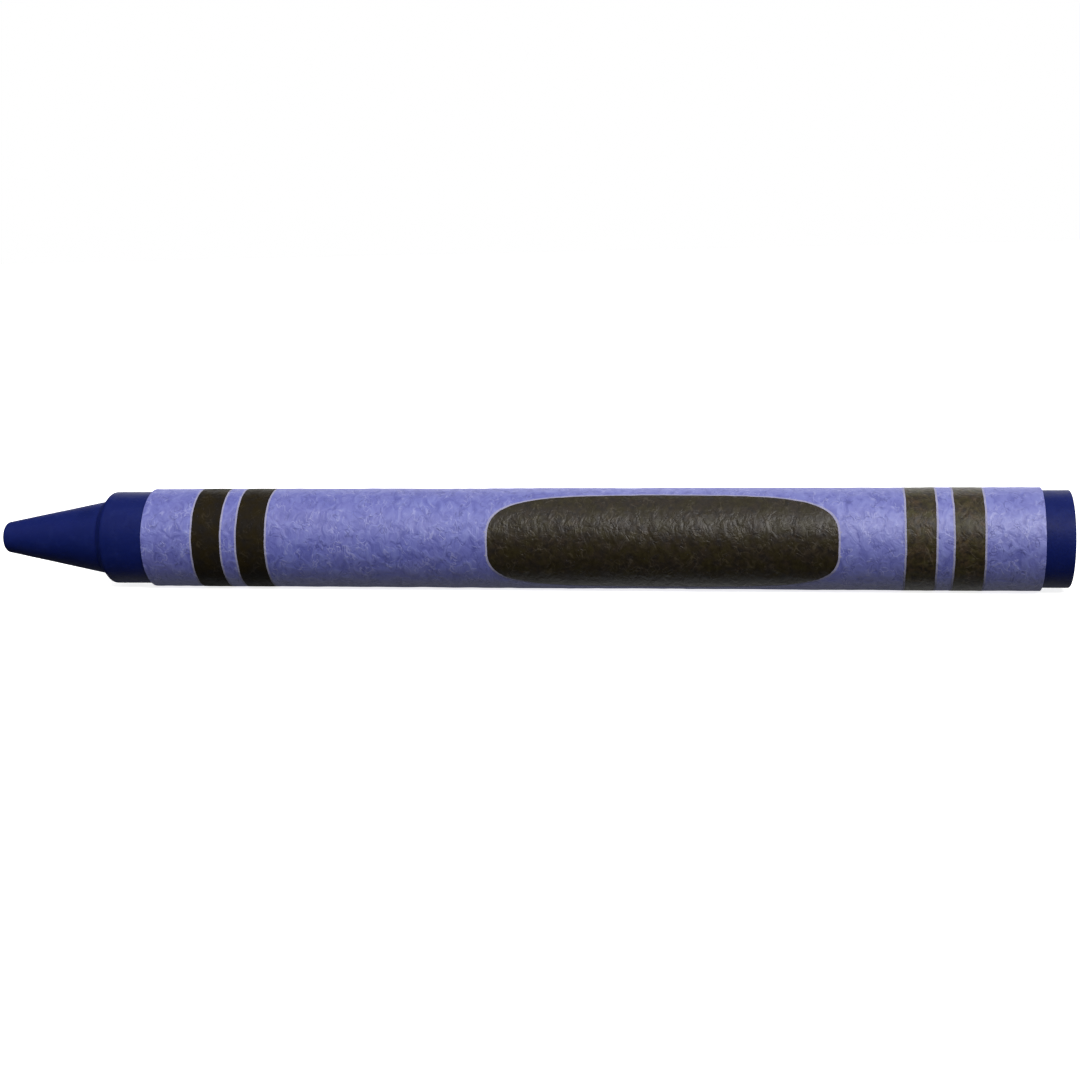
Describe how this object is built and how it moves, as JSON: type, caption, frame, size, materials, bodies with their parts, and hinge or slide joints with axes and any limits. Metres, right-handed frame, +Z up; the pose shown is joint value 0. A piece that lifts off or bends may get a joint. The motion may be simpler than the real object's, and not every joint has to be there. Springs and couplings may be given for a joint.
{
  "type": "wax crayon",
  "caption": "Cast wax drawing crayon with a blunt cone tip and a sloping shoulder, in a wound paper label printed with dark end rings and a plain dark oval.",
  "frame": {"origin": "under the middle of the crayon as it lies on its side, at the level of the surface it lies on", "axes": "+X along the stick towards its butt, with the tip at -X; -Y towards the side that shows the oval; +Z up"},
  "size_m": [0.0918, 0.0086, 0.0086],
  "materials": {
    "wax": "cast pigmented wax, navy blue, semi-matt",
    "paste": "dried starch paste, off-white",
    "label_paper": "uncoated paper with a printed blue-violet tint, matt",
    "ink": "printed brown-black ink on uncoated paper, matt"
  },
  "bodies": {
    "root": {"wax_stick": "wax", "paste_film": "paste", "paper_label": "label_paper", "nose_band_outer_ring": "ink", "nose_band_inner_ring": "ink", "name_panel": "ink", "butt_band_inner_ring": "ink", "butt_band_outer_ring": "ink"}
  },
  "joints": []
}
